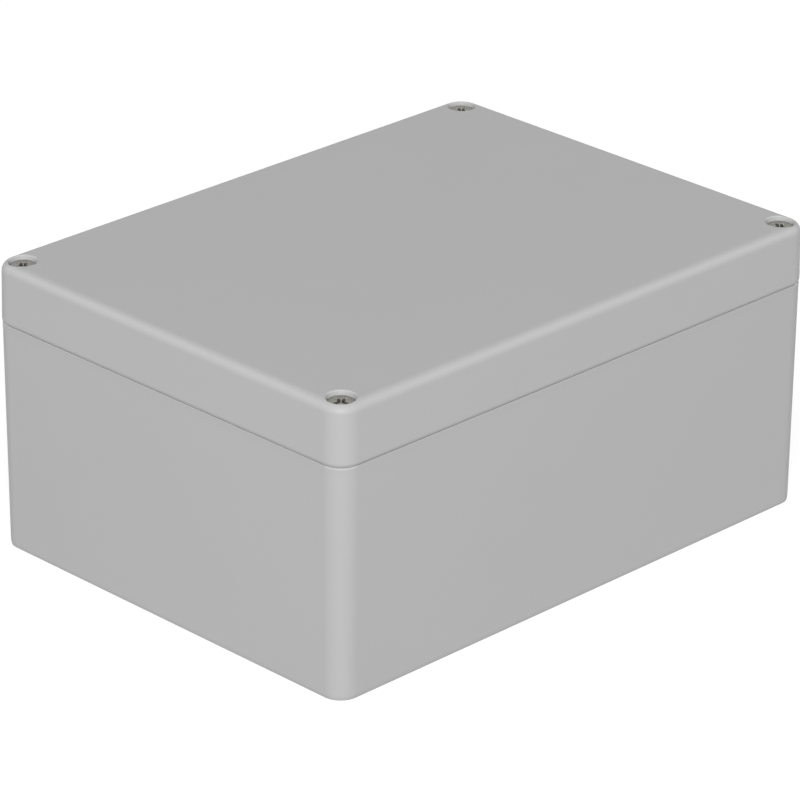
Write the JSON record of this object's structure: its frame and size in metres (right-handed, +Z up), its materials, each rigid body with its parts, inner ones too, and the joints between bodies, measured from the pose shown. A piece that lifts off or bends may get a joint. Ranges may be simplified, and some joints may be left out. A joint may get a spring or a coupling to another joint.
{
  "type": "polycarbonate enclosure",
  "caption": "Closed rectangular enclosure: deep base and screwed-down lid with recessed corner screws, a gasket, board posts inside and wall fixing holes under the lid.",
  "frame": {"origin": "middle of the underside of the base", "axes": "+X along the 160 mm length, +Y along the 120 mm width, +Z up through the lid"},
  "size_m": [0.16, 0.12, 0.0746],
  "materials": {
    "housing": "fine satin, as moulded",
    "seal": "matt elastomer",
    "screw_metal": "dull stainless",
    "insert_metal": "turned",
    "washer_plastic": "natural polyamide"
  },
  "bodies": {
    "root": {"base": "housing", "lid": "housing", "gasket": "seal", "lid_screws": "screw_metal", "insert_front_left": "insert_metal", "insert_front_right": "insert_metal", "insert_rear_left": "insert_metal", "insert_rear_right": "insert_metal", "washer_front_left": "washer_plastic", "washer_front_right": "washer_plastic", "washer_rear_left": "washer_plastic", "washer_rear_right": "washer_plastic"}
  },
  "joints": []
}
